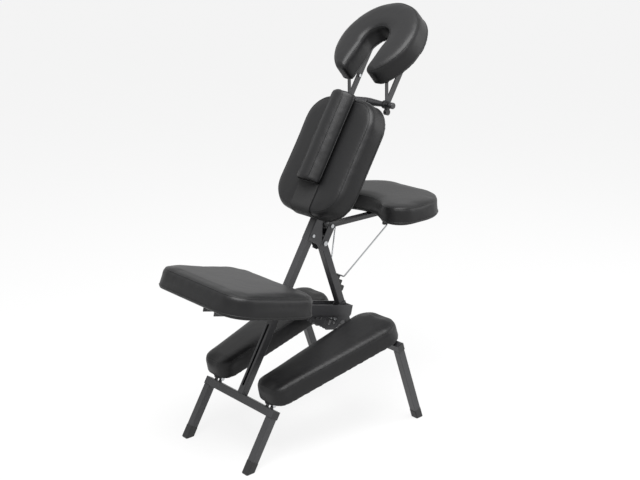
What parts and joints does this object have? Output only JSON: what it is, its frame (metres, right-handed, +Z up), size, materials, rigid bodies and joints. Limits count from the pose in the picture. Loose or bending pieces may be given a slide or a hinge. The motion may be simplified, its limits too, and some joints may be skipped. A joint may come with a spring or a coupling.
{
  "type": "kneeling massage chair",
  "caption": "Folding kneeling chair with a padded seat, leg rests, chest pad, armrest and a tilting, height-adjustable horseshoe face cradle on a steel tube frame",
  "frame": {"origin": "on the floor at the middle of the overall bounding box", "axes": "X points the way the sitter faces, Y to the sitter's left, Z up"},
  "size_m": [0.9242, 0.498, 1.3136],
  "materials": {
    "upholstery": "soft grained black coated fabric",
    "board": "black stained plywood",
    "webbing": "flat woven strap",
    "rubber_foot": "matt",
    "black_plastic": "moulded, satin",
    "bright_steel": "zinc plated",
    "frame_paint": "satin charcoal powder coat"
  },
  "bodies": {
    "rear_frame": {"rear_crossbar": "frame_paint", "rear_end_plugs": "black_plastic", "rear_leg_left": "frame_paint", "rear_leg_right": "frame_paint", "rear_feet": "rubber_foot", "main_post": "frame_paint", "hinge_plate_left": "frame_paint", "hinge_plate_right": "frame_paint", "hinge_bolts": "bright_steel", "hinge_channel": "frame_paint", "top_hinge_pin": "bright_steel", "arm_pivot_pin": "bright_steel", "seat_pivot_pin": "bright_steel", "leg_pins": "bright_steel", "chest_pad": "upholstery", "chest_board": "board", "chest_clips": "frame_paint", "chest_screws": "bright_steel", "sternum_pad": "upholstery", "sternum_strap": "webbing", "post_collar": "black_plastic"},
    "front_frame": {"front_crossbar": "frame_paint", "front_end_plugs": "black_plastic", "front_leg_left": "frame_paint", "front_leg_right": "frame_paint", "front_feet": "rubber_foot", "front_strut": "frame_paint", "lane_pin": "bright_steel", "armrest_rack": "black_plastic", "leg_saddles": "rubber_foot"},
    "left_leg_rest": {"leg_pad_left": "upholstery", "leg_board_left": "board", "leg_strap_left": "frame_paint"},
    "right_leg_rest": {"leg_pad_right": "upholstery", "leg_board_right": "board", "leg_strap_right": "frame_paint"},
    "seat": {"seat_pad": "upholstery", "seat_board": "board", "seat_rail_left": "frame_paint", "seat_rail_right": "frame_paint", "seat_screws": "bright_steel", "rail_nose": "frame_paint", "seat_racks": "frame_paint"},
    "armrest": {"armrest_bar": "frame_paint", "armrest_pad": "upholstery", "armrest_board": "board", "armrest_screws": "bright_steel", "bail_clips": "black_plastic"},
    "bail": {"wire_bail": "bright_steel"},
    "head_slide": {"head_stem": "frame_paint", "head_rod": "frame_paint"},
    "knob": {"height_knob": "black_plastic"},
    "cradle": {"cradle_arm_left": "frame_paint", "cradle_arm_right": "frame_paint", "cradle_bolts": "bright_steel", "cradle_pad": "upholstery", "cradle_board": "board", "cradle_screws": "bright_steel"},
    "cam": {"cam_wheel": "black_plastic", "cam_lever": "black_plastic"}
  },
  "joints": [
    {"name": "front_fold", "type": "hinge", "parent": "rear_frame", "child": "front_frame", "pos_m": [0.04917, 0, 0.59005], "axis": [0, 1, 0], "range_deg": [0, 10]},
    {"name": "seat_fold", "type": "hinge", "parent": "rear_frame", "child": "seat", "pos_m": [-0.13057, 0, 0.41377], "axis": [0, 1, 0], "range_deg": [0, 4.25]},
    {"name": "leg_lift_left", "type": "hinge", "parent": "rear_frame", "child": "left_leg_rest", "pos_m": [-0.27069, 0.128, 0.17947], "axis": [0, -1, 0], "range_deg": [0, 15]},
    {"name": "leg_lift_right", "type": "hinge", "parent": "rear_frame", "child": "right_leg_rest", "pos_m": [-0.27069, -0.128, 0.17947], "axis": [0, -1, 0], "range_deg": [0, 15]},
    {"name": "armrest_lift", "type": "hinge", "parent": "rear_frame", "child": "armrest", "pos_m": [0.07811, 0, 0.6415], "axis": [0, -1, 0], "range_deg": [0, 12]},
    {"name": "bail_swing", "type": "hinge", "parent": "armrest", "child": "bail", "pos_m": [0.22511, 0, 0.643], "axis": [0, -1, 0], "range_deg": [-12, 0]},
    {"name": "head_height", "type": "slide", "parent": "rear_frame", "child": "head_slide", "axis": [0.5195, 0, 0.8545], "range_m": [0, 0.1]},
    {"name": "cradle_tilt", "type": "hinge", "parent": "head_slide", "child": "cradle", "pos_m": [0.2446, 0, 1.01543], "axis": [0, 1, 0], "range_deg": [-15, 20]},
    {"name": "cam_turn", "type": "hinge", "parent": "head_slide", "child": "cam", "pos_m": [0.2446, 0, 1.01543], "axis": [0, 1, 0], "range_deg": [0, 60]},
    {"name": "knob_turn", "type": "hinge", "parent": "rear_frame", "child": "knob", "pos_m": [0.21777, 0, 0.98669], "axis": [0, 1, 0], "continuous": true}
  ],
  "couplings": [
    {"joint": "seat_fold", "follows": "front_fold", "ratio": 0.425},
    {"joint": "bail_swing", "follows": "armrest_lift", "ratio": -1}
  ]
}
